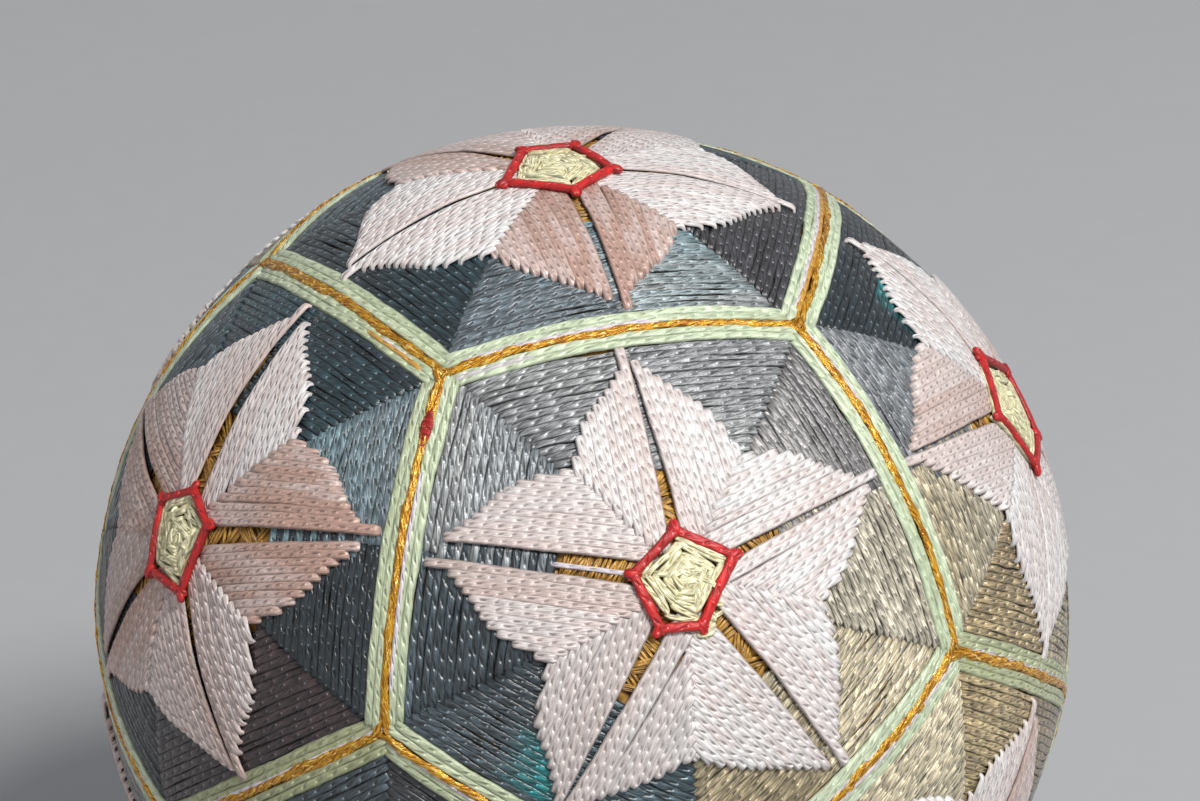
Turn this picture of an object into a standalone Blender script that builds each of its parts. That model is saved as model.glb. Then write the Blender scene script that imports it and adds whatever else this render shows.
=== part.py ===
"""Temari ball: a wound thread ball with a stitched flower on each of its twelve pentagons.

Metres, +Z up. The origin is the centre of the flat spot that the ball rests on, and +Z runs
along the axis of the top flower. One of the five flowers round it faces -Y. The ball is one
solid of its wound form. Its outer surface carries the main relief of the stitching: the raised
flowers, the lower field between them, the bands along the pentagons' edges and the centre pads.
"""

import math

import bmesh
import bpy
from mathutils import Matrix, Vector

OBJECT_NAME = "temari_ball"
NODE_NAME = "wound_ball"

# Driving dimensions.
BALL_DIAMETER = 0.100  # over the bands that run along the pentagons' edges
FLAT_SPOT_RADIUS = 0.0085  # the settled patch under the bottom flower

# Height of each kind of stitching, from the bands' surface outward.
FIELD_HEIGHT = -0.0005  # rows of thread between a flower and its bands
FLOWER_HEIGHT = 0.0002  # petals, which lie over the field's innermost rows
CENTRE_HEIGHT = 0.0005  # pad in the middle of a flower

# The pattern, as angles at the ball's centre.
CENTRE_REACH = math.radians(6.0)  # flower's middle to the pad's rim
NOTCH_REACH = math.radians(17.5)  # flower's middle to the notch between two petals
TIP_REACH = math.radians(28.5)  # flower's middle to a petal's tip
BAND_REACH = math.radians(2.5)  # pentagon's edge to the inner rim of its band
RELIEF_BLEND = math.radians(1.6)  # width of the slope between two heights

PETALS = 5
ICOSPHERE_LEVEL = 5
FLOWER_TURN = math.radians(-18.0)  # turns the ring of flowers so that one faces -Y
MERGE_DISTANCE = 0.0001


def flower_axes():
    """The twelve directions from the ball's centre to the middles of the flowers."""
    tilt = math.atan(2.0)  # angle between two neighbouring five-fold axes
    axes = [Vector((0.0, 0.0, 1.0)), Vector((0.0, 0.0, -1.0))]
    for step in range(PETALS):
        turn = FLOWER_TURN + step * math.tau / PETALS
        ring = Vector((math.sin(tilt) * math.cos(turn), math.sin(tilt) * math.sin(turn), math.cos(tilt)))
        axes += [ring, -ring]
    return axes


def step_down(value, edge, width):
    """1 below the edge and 0 above it, with a smooth slope of this width between."""
    share = min(max((value - edge) / width + 0.5, 0.0), 1.0)
    return 1.0 - share * share * (3.0 - 2.0 * share)


def petal_reach(turn):
    """How far the flower's outline lies from its middle, at this turn from a petal's tip."""
    half_step = math.pi / PETALS
    turn = abs((turn + half_step) % (2.0 * half_step) - half_step)
    tip = Vector((TIP_REACH, 0.0))
    notch = Vector((NOTCH_REACH * math.cos(half_step), NOTCH_REACH * math.sin(half_step)))
    side = notch - tip
    return tip.cross(side) / (math.cos(turn) * side.y - math.sin(turn) * side.x)


def stitched_radius(direction, axes):
    """The ball's radius over its stitching, in this direction from its centre."""
    near, neighbour = sorted(axes, key=direction.dot, reverse=True)[:2]
    from_middle = direction.angle(near)
    along = (neighbour - near * neighbour.dot(near)).normalized()
    outward = direction - near * direction.dot(near)
    turn = outward.angle(along, 0.0) if outward.length > MERGE_DISTANCE else 0.0
    from_edge = math.asin((near - neighbour).normalized().dot(direction))

    band = step_down(from_edge, BAND_REACH, RELIEF_BLEND)
    flower = step_down(from_middle, petal_reach(turn), RELIEF_BLEND)
    centre = step_down(from_middle, CENTRE_REACH, RELIEF_BLEND)
    height = FIELD_HEIGHT * (1.0 - band)
    height += (FLOWER_HEIGHT - height) * flower
    height += (CENTRE_HEIGHT - height) * centre
    return BALL_DIAMETER / 2.0 + height


def thread_material():
    """Matt to satin cotton thread in the cool grey that the stitched field has overall."""
    material = bpy.data.materials.new("stitched_thread")
    material.use_nodes = True
    shader = material.node_tree.nodes["Principled BSDF"]
    shader.inputs["Base Color"].default_value = (0.32, 0.33, 0.34, 1.0)
    shader.inputs["Roughness"].default_value = 0.6
    shader.inputs["Metallic"].default_value = 0.0
    return material


def wound_ball(collection):
    """One closed solid: an icosphere with the stitching's relief, cut flat where it rests."""
    shape = bmesh.new()
    bmesh.ops.create_icosphere(shape, subdivisions=ICOSPHERE_LEVEL, radius=1.0)
    bmesh.ops.rotate(shape, cent=(0.0, 0.0, 0.0), matrix=Matrix.Rotation(FLOWER_TURN, 3, "Z"), verts=shape.verts)

    axes = flower_axes()
    for vertex in shape.verts:
        direction = vertex.co.normalized()
        vertex.co = direction * stitched_radius(direction, axes)

    flower_radius = BALL_DIAMETER / 2.0 + FLOWER_HEIGHT
    middle_height = math.sqrt(flower_radius**2 - FLAT_SPOT_RADIUS**2)
    bmesh.ops.translate(shape, verts=shape.verts, vec=(0.0, 0.0, middle_height))
    everything = shape.verts[:] + shape.edges[:] + shape.faces[:]
    bmesh.ops.bisect_plane(
        shape, geom=everything, dist=MERGE_DISTANCE, plane_co=(0, 0, 0), plane_no=(0, 0, -1), clear_outer=True
    )
    for face in shape.faces:
        face.smooth = True
    rim = [edge for edge in shape.edges if edge.is_boundary]
    bmesh.ops.edgeloop_fill(shape, edges=rim)
    bmesh.ops.recalc_face_normals(shape, faces=shape.faces)

    mesh = bpy.data.meshes.new(NODE_NAME)
    shape.to_mesh(mesh)
    shape.free()
    mesh.materials.append(thread_material())
    ball = bpy.data.objects.new(NODE_NAME, mesh)
    collection.objects.link(ball)
    return ball


def main():
    for old in list(bpy.data.objects):
        bpy.data.objects.remove(old)
    collection = bpy.data.collections.new(OBJECT_NAME)
    bpy.context.scene.collection.children.link(collection)
    wound_ball(collection)


main()
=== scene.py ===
"""Looks of the temari ball: every stitched thread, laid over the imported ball.

The ball carries twelve pentagons, each with a five-petalled flower. Threads under tension lie along
great circles, so each pentagon is laid out on a flat sheet that touches the ball at the flower's
middle: there a great circle is a straight line, and a place is tan(angle from the middle).
Lengths are in metres and angles in radians. Dyes are given as sRGB from 0 to 255, and the shades
inside materials, lights and the world as scene-linear from 0 to 1.
"""

import math
from collections import namedtuple

import bpy
import numpy as np
from mathutils import Matrix, Vector


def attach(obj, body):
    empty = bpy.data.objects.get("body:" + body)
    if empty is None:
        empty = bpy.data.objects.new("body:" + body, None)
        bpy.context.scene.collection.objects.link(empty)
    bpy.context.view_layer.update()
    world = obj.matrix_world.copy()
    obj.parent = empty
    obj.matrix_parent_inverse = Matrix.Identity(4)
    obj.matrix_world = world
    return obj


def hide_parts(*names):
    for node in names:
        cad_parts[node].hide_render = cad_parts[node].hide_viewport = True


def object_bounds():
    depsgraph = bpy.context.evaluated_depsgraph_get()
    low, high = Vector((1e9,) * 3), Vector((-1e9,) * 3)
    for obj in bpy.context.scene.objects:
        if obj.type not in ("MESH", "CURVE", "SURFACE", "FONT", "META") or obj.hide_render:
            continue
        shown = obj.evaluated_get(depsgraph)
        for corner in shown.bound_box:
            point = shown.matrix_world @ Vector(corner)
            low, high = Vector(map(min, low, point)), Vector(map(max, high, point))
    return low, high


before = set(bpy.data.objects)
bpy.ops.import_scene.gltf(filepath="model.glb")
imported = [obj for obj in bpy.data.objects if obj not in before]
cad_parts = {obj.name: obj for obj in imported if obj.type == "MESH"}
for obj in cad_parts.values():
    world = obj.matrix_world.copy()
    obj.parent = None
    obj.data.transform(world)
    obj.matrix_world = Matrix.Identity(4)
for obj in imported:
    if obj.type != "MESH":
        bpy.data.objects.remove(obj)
cad_low, cad_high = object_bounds()

SEED = 20
BODY = "root"
MM = 0.001

# The ball, from its centre outward.
CAD_TOP_RADIUS = 0.0505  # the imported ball's radius over the top flower's centre pad
CENTRE = np.array([0.0, 0.0, cad_high.z - CAD_TOP_RADIUS])
WRAP_RADIUS = 0.0491
FIELD_RADIUS = 0.04938  # radii are those of the threads' middles
BAND_RADIUS = 0.04960
GOLD_RADIUS = 0.04974
PETAL_RADIUS = 0.04992
PETAL_SINK = 0.00028  # how much lower petals lie near the ring, where no field lies under them
RING_RADIUS = 0.05026
CENTRE_RADIUS = 0.04990
FLOOR_SOFTNESS = 0.00015  # height over which threads round off into the flat spot
FLOOR_REACH = 20.0 * FLOOR_SOFTNESS  # nothing above this height is moved

# The pattern, as angles at the ball's centre.
TILT = math.atan(2.0)  # between two neighbouring flowers
PETALS = 5
PETAL_STEP = math.tau / PETALS
HALF_STEP = PETAL_STEP / 2.0
EDGE_REACH = TILT / 2.0  # flower's middle to the middle of a pentagon's edge
FIRST_ROW = math.radians(28.85)
ROW_PITCH = math.radians(0.96)
FIELD_ROWS = 16
BAND_ROWS = (math.radians(30.80), math.radians(29.86))
NOTCH_REACH = math.radians(17.5)
TIP_REACH = math.radians(28.4)
PETAL_PITCH = math.radians(0.88)
PETAL_START = math.tan(math.radians(3.9))  # along a petal's axis, where its innermost threads start
PETAL_SLACK = 0.30  # degrees added to a petal's gap at either end, for the half width of its threads
BULGE_SHAPE = 2.6  # where along a petal's outline it bulges most
LONGEST_EXTRA = 0.040  # how far the longest thread of a petal runs past its tip, on the sheet
NOTCH_MARGIN = 0.985  # threads past this share of the way to the notch are left out
ROW_UNDERLAP = 0.07  # how far a row runs under its petal, as a share of half a side
LAST_SHARE = 0.93  # rows that show for less than the rest of this share are left out

# Threads.
FIELD_WIDTH = 1.06 * MM
FIELD_THICKNESS = 0.46 * MM
PETAL_WIDTH = 1.02 * MM
PETAL_THICKNESS = 0.44 * MM
BAND_WIDTH = 1.00 * MM
BAND_THICKNESS = 0.52 * MM
GOLD_WIDTH = 0.78 * MM
GOLD_THICKNESS = 0.46 * MM
GOLD_KNOT_WIDTH = 0.52 * MM
GOLD_OFFSET = math.radians(0.34)  # about how far each of the two strands lies from its edge
GUIDE_WIDTH = 0.50 * MM
GUIDE_THICKNESS = 0.45 * MM
GAP_GUIDE_WIDTH = 0.60 * MM
GAP_GUIDE_THICKNESS = 0.50 * MM
RING_WIDTH = 1.00 * MM
RING_THICKNESS = 0.72 * MM
KNOT_WIDTH = 1.05 * MM
KNOT_THICKNESS = 0.70 * MM
WHIP_WIDTH = 0.40 * MM
WHIP_THICKNESS = 0.34 * MM
SPECK_WIDTH = 0.35 * MM
SPECK_THICKNESS = 0.25 * MM
PAD_WIDTH = 0.70 * MM
PAD_THICKNESS = 0.55 * MM
CURL_WIDTH = 0.60 * MM
WRAP_WIDTH = 0.36 * MM
WRAP_THICKNESS = 0.32 * MM
FIELD_TWIST = 2.0 * MM  # one dash of the two-ply twist
PETAL_TWIST = 1.45 * MM
GOLD_TWIST = 1.1 * MM
PLY_RELIEF = 0.05
SECTION_ACROSS = np.array([1.0, 0.60, -0.60, -1.0, -0.60, 0.60])  # a flat-topped six-sided section
SECTION_RISE = np.array([0.0, 0.88, 0.88, 0.0, -0.88, -0.88])
SIDES = len(SECTION_ACROSS)


def direction_of(vector):
    """The same direction at length one, for one vector or for rows of them."""
    vector = np.asarray(vector, float)
    return vector / np.linalg.norm(vector, axis=-1, keepdims=True)


def fresh(*key):
    """A random source of its own for each part of the work, the same in each run."""
    return np.random.default_rng((SEED,) + key)


# Pentagons ---------------------------------------------------------------------------------------

Face = namedtuple("Face", "index name axis along across neighbours")


def flower_axes():
    """The directions from the ball's centre to the middles of the twelve flowers, by name."""
    upper = ("right", "back_right", "back_left", "left", "front")
    lower = ("low_left", "low_front_left", "low_front_right", "low_right", "low_back")
    axes = {"top": np.array([0.0, 0.0, 1.0]), "bottom": np.array([0.0, 0.0, -1.0])}
    for step, (high, low) in enumerate(zip(upper, lower)):
        turn = math.radians(-18.0) + step * PETAL_STEP
        ring = np.array([math.sin(TILT) * math.cos(turn), math.sin(TILT) * math.sin(turn), math.cos(TILT)])
        axes[high] = ring
        axes[low] = -ring
    return axes


def pentagons():
    """Each pentagon with its five neighbours, anticlockwise as seen from outside the ball."""
    axes = flower_axes()
    faces = {}
    for index, (name, axis) in enumerate(axes.items()):
        near = [other for other in axes if 0.3 < float(axis @ axes[other]) < 0.6]
        preferred = {"top": "front", "bottom": "low_front_left"}
        first = preferred.get(name)
        if first is None:
            first = max(near, key=lambda other: axes[other][2])
            if name.startswith("low_front"):
                first = "front"
        along = direction_of(axes[first] - axis * float(axis @ axes[first]))
        across = np.cross(axis, along)

        def turn_of(other):
            return math.atan2(float(axes[other] @ across), float(axes[other] @ along)) % math.tau

        near.sort(key=lambda other: (turn_of(other) + 0.1) % math.tau)
        faces[name] = Face(index, name, axis, along, across, tuple(near))
    return faces


def sheet_point(reach, turn):
    """The place on a pentagon's sheet at this angle from the middle, this way round."""
    return np.array([math.tan(reach) * math.cos(turn), math.tan(reach) * math.sin(turn)])


def on_ball(face, place):
    """The direction from the ball's centre through a place on the pentagon's sheet."""
    return direction_of(place[0] * face.along + place[1] * face.across + face.axis)


def side_point(side, reach, share):
    """A place on the row at this reach along one side: share -1 and 1 are its two corners."""
    out = math.tan(reach)
    level = share * out * math.tan(HALF_STEP)
    turn = side * PETAL_STEP
    return np.array([
        out * math.cos(turn) - level * math.sin(turn),
        out * math.sin(turn) + level * math.cos(turn),
    ])


# Threads -----------------------------------------------------------------------------------------

# How a thread ends: how far it runs past its mark, how deep it sinks and over what length, how much
# it rises just before, how round its end is (0 for a plain cut one), and how much painted shade
# darkens its colour where it sinks between its neighbours.
End = namedtuple("End", "reach dive ease rise rounded gloom")
HEAD = End(0.60 * MM, 0.62 * MM, 0.70 * MM, 0.14 * MM, 1.0, 0.0)
TUCK = End(0.30 * MM, 0.50 * MM, 1.6 * MM, 0.0, 0.0, 0.45)
SUNK = End(0.50 * MM, 0.50 * MM, 1.6 * MM, 0.0, 0.0, 0.0)
CUT = End(0.0, 0.0, 1.0 * MM, 0.0, 0.0, 0.0)
PETAL_END = End(0.15 * MM, 0.75 * MM, 0.50 * MM, 0.0, 0.2, 0.0)
RING_TIE = End(0.75 * MM, 0.30 * MM, 0.9 * MM, 0.0, 1.0, 0.0)
RING_TURN = End(0.35 * MM, 0.25 * MM, 0.8 * MM, 0.0, 1.0, 0.0)
WHIP = End(0.10 * MM, 0.55 * MM, 0.5 * MM, 0.0, 1.0, 0.0)
CURL = End(0.20 * MM, 0.35 * MM, 0.6 * MM, 0.0, 1.0, 0.0)
HEAD_LENGTH = 0.62 * MM  # the stretch of a rounded end that has its own rings of vertices
HEAD_ROUNDING = 0.50 * MM
HEAD_STATIONS = (0.0, 0.12 * MM, 0.32 * MM)
RISE_PLACE = 1.1 * MM


def stations(length, step, start, end):
    """Distances along a thread at which it gets a ring of vertices."""
    first = HEAD_LENGTH if start.rounded else 0.0
    last = length - (HEAD_LENGTH if end.rounded else 0.0)
    count = max(int(round((last - first) / step)), 1)
    places = list(np.linspace(first, last, count + 1)) if last > first else [length / 2.0]
    if start.rounded:
        places = [mark for mark in HEAD_STATIONS if mark < places[0]] + places
    if end.rounded:
        places += [length - mark for mark in reversed(HEAD_STATIONS) if length - mark > places[-1]]
    return np.array(places)


def rounding(distance):
    """How full a rounded head is at this distance from its very end, from 0.3 to 1."""
    share = np.clip(distance / HEAD_ROUNDING, 0.0, 1.0)
    return 0.3 + 0.7 * np.sqrt(1.0 - (1.0 - share) ** 2)


class Threads:
    """Gathers threads as closed tubes and makes one mesh piece of them."""

    def __init__(self, name, step=0.8 * MM):
        self.name = name
        self.step = step
        self.rings = 0
        self.places, self.quads, self.caps = [], [], []
        self.colours, self.twists = [], []

    def tube(self, path, out, width, thickness, colour, turns, phase):
        """One tube along the path. out is the outward direction at each point of the path, and
        turns the distance along it, counted in dashes of the twist."""
        count = len(path)
        along = direction_of(np.gradient(path, axis=0))
        side = direction_of(np.cross(along, out))
        up = np.cross(side, along)
        across, rise = SECTION_ACROSS, SECTION_RISE
        angles = np.arctan2(rise, across)
        turns = turns + phase
        groove = math.pi / 2.0 + math.pi * (turns - 0.5)
        relief = 1.0 - PLY_RELIEF * np.cos(2.0 * (angles[None, :] - groove[:, None]))
        lateral = (np.ones(count) * width / 2.0)[:, None] * across[None, :] * relief
        radial = (np.ones(count) * thickness / 2.0)[:, None] * rise[None, :] * relief
        ring = path[:, None, :] + lateral[..., None] * side[:, None, :] + radial[..., None] * up[:, None, :]
        self.places.append(ring.reshape(-1, 3))
        base = self.rings * SIDES
        here = base + np.arange(count - 1)[:, None] * SIDES + np.arange(SIDES)[None, :]
        there = base + np.arange(count - 1)[:, None] * SIDES + (np.arange(SIDES)[None, :] + 1) % SIDES
        self.quads.append(np.stack([here, here + SIDES, there + SIDES, there], -1).reshape(-1, 4))
        start_cap = base + np.arange(SIDES)
        end_cap = base + (count - 1) * SIDES + np.arange(SIDES)[::-1]
        self.caps += [start_cap, end_cap]
        self.colours.append(np.repeat(colour, SIDES, axis=0))
        twist = np.empty((count, SIDES, 3))
        twist[..., 0] = across[None, :]
        twist[..., 1] = rise[None, :]
        twist[..., 2] = turns[:, None]
        self.twists.append(twist.reshape(-1, 3))
        self.rings += count

    def lay(self, face, start, end, radius, rng, colour, ends=(HEAD, HEAD), width=FIELD_WIDTH,
            thickness=FIELD_THICKNESS, wander=0.03 * MM, lift=0.02 * MM, period=FIELD_TWIST, swell=None):
        """A taut thread from one place on a pentagon's sheet to another, at this radius from the
        ball's centre. radius, colour and swell may be functions of the share of the way along."""
        start, end = on_ball(face, start), on_ball(face, end)
        spread = math.acos(float(np.clip(start @ end, -1.0, 1.0)))
        forward = direction_of(end - start * math.cos(spread))
        middle = radius if not callable(radius) else float(radius(np.array([0.5]))[0])
        length = spread * middle + ends[0].reach + ends[1].reach
        marks = stations(length, self.step, *ends)
        angle = (marks - ends[0].reach) / middle
        out = np.cos(angle)[:, None] * start + np.sin(angle)[:, None] * forward
        share = np.clip(angle / max(spread, 1e-6), 0.0, 1.0)
        height = radius(share) if callable(radius) else np.full(len(marks), radius)
        for mark, tip in ((marks, ends[0]), (length - marks, ends[1])):
            height = height - tip.dive * np.clip(1.0 - mark / tip.ease, 0.0, 1.0) ** 2
            height = height + tip.rise * np.exp(-((mark - RISE_PLACE) / (0.8 * MM)) ** 2)
        waves = rng.uniform(0.0, math.tau, 3)
        height = height + lift * np.sin(marks / (4.1 * MM) + waves[0]) * 0.5 + lift * rng.normal() * 0.5
        drift = wander * (np.sin(marks / (2.3 * MM) + waves[1]) + 0.6 * np.sin(marks / (0.9 * MM) + waves[2]))
        side = direction_of(np.cross(forward, start))
        path = CENTRE + out * height[:, None] + drift[:, None] * side
        fullness = 1.0 + 0.05 * rng.normal() + 0.05 * np.sin(marks / (1.7 * MM) + waves[0])
        fullness = fullness * (1.0 - ends[0].rounded * (1.0 - rounding(marks)))
        fullness = fullness * (1.0 - ends[1].rounded * (1.0 - rounding(length - marks)))
        if swell is not None:
            fullness = fullness * swell(share)
        phase = rng.uniform(0.0, 1.0) + int(rng.integers(0, 900))
        tint = np.array(np.broadcast_to(colour(share) if callable(colour) else colour, (len(marks), 3)))
        # Painted shade: the colour is darkened near an end that sinks between its neighbours.
        for mark, tip in ((marks, ends[0]), (length - marks, ends[1])):
            tint *= 1.0 - tip.gloom * np.exp(-(mark / (0.9 * MM)) ** 2)[:, None]
        self.tube(path, out, width * fullness, thickness * fullness, tint, marks / period, phase)

    def build(self, material):
        """The mesh piece, settled on the flat spot."""
        places = settled(np.concatenate(self.places))
        quads = np.concatenate(self.quads)
        caps = np.array(self.caps)
        mesh = bpy.data.meshes.new(self.name)
        mesh.vertices.add(len(places))
        mesh.vertices.foreach_set("co", places.astype(np.float32).ravel())
        corners = np.concatenate([quads.ravel(), caps.ravel()])
        sizes = np.concatenate([np.full(len(quads), 4), np.full(len(caps), SIDES)])
        mesh.loops.add(len(corners))
        mesh.loops.foreach_set("vertex_index", corners.astype(np.int32))
        mesh.polygons.add(len(sizes))
        mesh.polygons.foreach_set("loop_start", (np.cumsum(sizes) - sizes).astype(np.int32))
        mesh.polygons.foreach_set("use_smooth", np.ones(len(sizes), bool))
        mesh.update(calc_edges=True)
        colours = np.concatenate(self.colours)
        shade = mesh.attributes.new("thread_colour", "FLOAT_COLOR", "POINT")
        rgba = np.concatenate([colours, np.ones((len(colours), 1))], axis=1)
        shade.data.foreach_set("color", rgba.astype(np.float32).ravel())
        twist = mesh.attributes.new("twist", "FLOAT_VECTOR", "POINT")
        twist.data.foreach_set("vector", np.concatenate(self.twists).astype(np.float32).ravel())
        return make_piece(self.name, mesh, material)


def settled(places):
    """The places with everything below the surface that the ball rests on pressed up onto it."""
    places = places.copy()
    height = places[:, 2]
    places[:, 2] = np.where(
        height > FLOOR_REACH,
        height,
        FLOOR_SOFTNESS * np.log1p(np.exp(np.minimum(height, FLOOR_REACH) / FLOOR_SOFTNESS)),
    )
    return places


def make_piece(name, mesh, material):
    """An object of this mesh that rides on the ball."""
    mesh.materials.append(material)
    piece = bpy.data.objects.new(name, mesh)
    bpy.context.scene.collection.objects.link(piece)
    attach(piece, BODY)
    return piece


# Colours -----------------------------------------------------------------------------------------


def linear(red, green, blue):
    """Scene-linear colour of an sRGB one."""
    value = np.array([red, green, blue], float) / 255.0
    return np.where(value <= 0.04045, value / 12.92, ((value + 0.055) / 1.055) ** 2.4)


DYES_SRGB = {
    "ink": (36, 46, 52),
    "slate": (72, 84, 91),
    "steel": (104, 114, 121),
    "grey": (122, 124, 127),
    "stone": (112, 110, 111),
    "silver": (148, 150, 150),
    "dove": (148, 145, 142),
    "teal": (56, 110, 118),
    "turquoise": (14, 122, 124),
    "deep_teal": (44, 70, 78),
    "sea": (106, 138, 146),
    "khaki": (164, 152, 124),
    "straw": (194, 184, 156),
    "bone": (208, 195, 164),
    "olive": (142, 128, 98),
    "brown": (120, 104, 82),
    "tan": (168, 150, 112),
    "taupe": (174, 167, 150),
    "charcoal": (62, 62, 66),
    "plum": (60, 47, 49),
    "white": (226, 224, 223),
    "blush": (222, 212, 209),
    # mist serves as painted shade on petals that face away from the light.
    "mist": (184, 176, 173),
    "pink": (214, 196, 191),
    # rose is darker than the thread's own pink: partly painted shade for the pinkest petals in dim light.
    "rose": (188, 153, 139),
    "mint": (206, 218, 188),
    "sage": (170, 186, 148),
    "moss": (156, 158, 112),
    "lilac": (220, 211, 217),
    "ochre": (208, 158, 72),
    "umber": (120, 80, 34),
    "gold": (244, 184, 50),
    "red": (192, 20, 20),
    "deep_red": (172, 26, 24),
    "cream": (234, 229, 188),
    "honey": (204, 180, 112),
}
DYE = {name: linear(*srgb) for name, srgb in DYES_SRGB.items()}


def mixed(first, second, share):
    """A colour between two, for one share or for an array of shares."""
    share = np.asarray(share, float)[..., None]
    return np.asarray(first) * (1.0 - share) + np.asarray(second) * share


def varied(colour, rng, amount):
    """The colour a little lighter or darker, as a hand-dyed thread is."""
    return np.asarray(colour) * math.exp(amount * rng.normal())


# Field colours: for each pentagon and side, the wing at its start and the wing at its end, going
# anticlockwise, each with the dye of its outermost and innermost rows, where marked partly painted light.
FIELD_DYES = {
    "front": (
        (("grey", "silver"), ("silver", "grey")),
        # The silver of this start wing is partly painted highlight: lighter for the sheen its threads catch.
        (("silver", "steel"), ("slate", "ink")),
        (("slate", "ink"), ("slate", "deep_teal")),
        (("olive", "khaki"), ("bone", "khaki")),
        (("taupe", "taupe"), ("stone", "dove")),
    ),
    "top": (
        (("steel", "slate"), ("silver", "sea")),
        (("charcoal", "charcoal"), ("charcoal", "ink")),
        (("slate", "ink"), ("slate", "steel")),
        (("steel", "grey"), ("slate", "deep_teal")),
        (("ink", "slate"), ("ink", "deep_teal")),
    ),
    "left": (
        (("ink", "deep_teal"), ("deep_teal", "ink")),
        (("slate", "deep_teal"), ("steel", "slate")),
        (("plum", "charcoal"), ("ink", "charcoal")),
        (("plum", "charcoal"), ("plum", "plum")),
        (("ink", "ink"), ("steel", "sea")),
    ),
    "right": (
        (("ink", "charcoal"), ("ink", "ink")),
        (("grey", "steel"), ("khaki", "taupe")),
        (("tan", "brown"), ("khaki", "olive")),
        (("brown", "olive"), ("khaki", "straw")),
        (("grey", "khaki"), ("steel", "slate")),
    ),
    "low_front_left": (
        (("ink", "slate"), ("charcoal", "ink")),
        (("slate", "ink"), ("ink", "deep_teal")),
        (("slate", "deep_teal"), ("steel", "slate")),
        (("slate", "steel"), ("slate", "teal")),
        (("teal", "slate"), ("deep_teal", "slate")),
    ),
    "low_front_right": (
        (("bone", "straw"), ("olive", "brown")),
        (("brown", "olive"), ("olive", "khaki")),
        (("khaki", "olive"), ("dove", "silver")),
        (("silver", "grey"), ("grey", "dove")),
        (("brown", "olive"), ("tan", "tan")),
    ),
}
# Dyes that show where some rows meet the petal: the dye, the first such row and the one past the last.
ACCENTS = {
    ("front", 2, False): ("turquoise", 1, 8),
    ("front", 2, True): ("teal", 1, 4),
    ("right", 0, True): ("turquoise", 6, 16),
    ("right", 1, False): ("turquoise", 10, 16),
    ("top", 0, False): ("sea", 6, 14),
}
FIELD_FAMILIES = (
    ("slate", "steel", "deep_teal", "ink", "sea", "teal"),
    ("grey", "silver", "dove", "steel", "charcoal", "slate"),
    ("khaki", "olive", "straw", "brown", "dove", "silver"),
    ("plum", "charcoal", "slate", "ink", "grey", "steel"),
)


def wing_dyes(face, side, late):
    """The outer and inner dye of one wing of a pentagon's field."""
    if face.name in FIELD_DYES:
        outer, inner = FIELD_DYES[face.name][side][late]
    else:
        rng = fresh(face.index, side, 71)
        family = FIELD_FAMILIES[(face.index + (side + 1) // 2) % len(FIELD_FAMILIES)]
        outer, middle, inner = rng.choice(family, 3, replace=False)
        if late:
            outer = middle
    return DYE[outer], DYE[inner]


# How pink each petal is, on its clockwise and its anticlockwise half, from 0 to 1: the thread's own
# pink, but the high values of the left flower and of the top flower's first petal are partly painted
# warm shade.
PETAL_TINTS = {
    "front": ((0.15, 0.25), (0.35, 0.50), (0.30, 0.20), (0.10, 0.15), (0.10, 0.10)),
    "top": ((0.85, 0.90), (0.15, 0.15), (0.30, 0.50), (0.60, 0.75), (0.15, 0.10)),
    "left": ((0.20, 0.35), (0.70, 1.00), (0.85, 0.80), (0.55, 0.55), (1.00, 1.00)),
    "right": ((0.10, 0.05), (0.60, 0.40), (0.10, 0.10), (0.20, 0.40), (0.50, 0.30)),
    "low_front_right": ((0.10, 0.10), (0.40, 0.50), (0.30, 0.20), (0.20, 0.50), (0.60, 0.30)),
    "low_front_left": ((0.60, 0.70), (0.80, 0.60), (0.30, 0.30), (0.20, 0.40), (0.70, 0.60)),
}
# How much greyer and darker than the others some halves of petals are, from 0 to 1: painted shade
# on halves that face away from the light.
PETAL_PAINTED_SHADES = {
    ("front", 1, False): 0.20,
    ("front", 1, True): 0.20,
    ("front", 2, False): 0.65,
    ("front", 2, True): 0.50,
    ("front", 3, False): 0.15,
    ("left", 1, True): 0.20,
    ("left", 2, False): 0.30,
    ("left", 3, True): 0.20,
}


def petal_tint(face, petal, late):
    """How pink one half of a petal is: the thread's own pink, in places partly painted warm shade."""
    if face.name in PETAL_TINTS:
        return PETAL_TINTS[face.name][petal][late]
    return float(fresh(face.index, petal, late, 72).uniform(0.0, 0.85))


# Flowers -----------------------------------------------------------------------------------------

# Where a flower fell, since it is stitched by eye. All angles are in degrees. shift is how far the
# flower's middle lies from the pentagon's, towards its first neighbour and anticlockwise from that.
# Each petal has its tip's reach and turn, half the gap along its axis at the ring and at the tip,
# and how much each half bulges past a straight outline, clockwise half first. Each notch follows its
# petal anticlockwise, and each corner of the ring lies on its petal's axis.
Petal = namedtuple("Petal", "reach turn gap_in gap_out bulge_before bulge_after")
Place = namedtuple("Place", "reach turn")
Flower = namedtuple("Flower", "shift petals notches ring")

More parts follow.
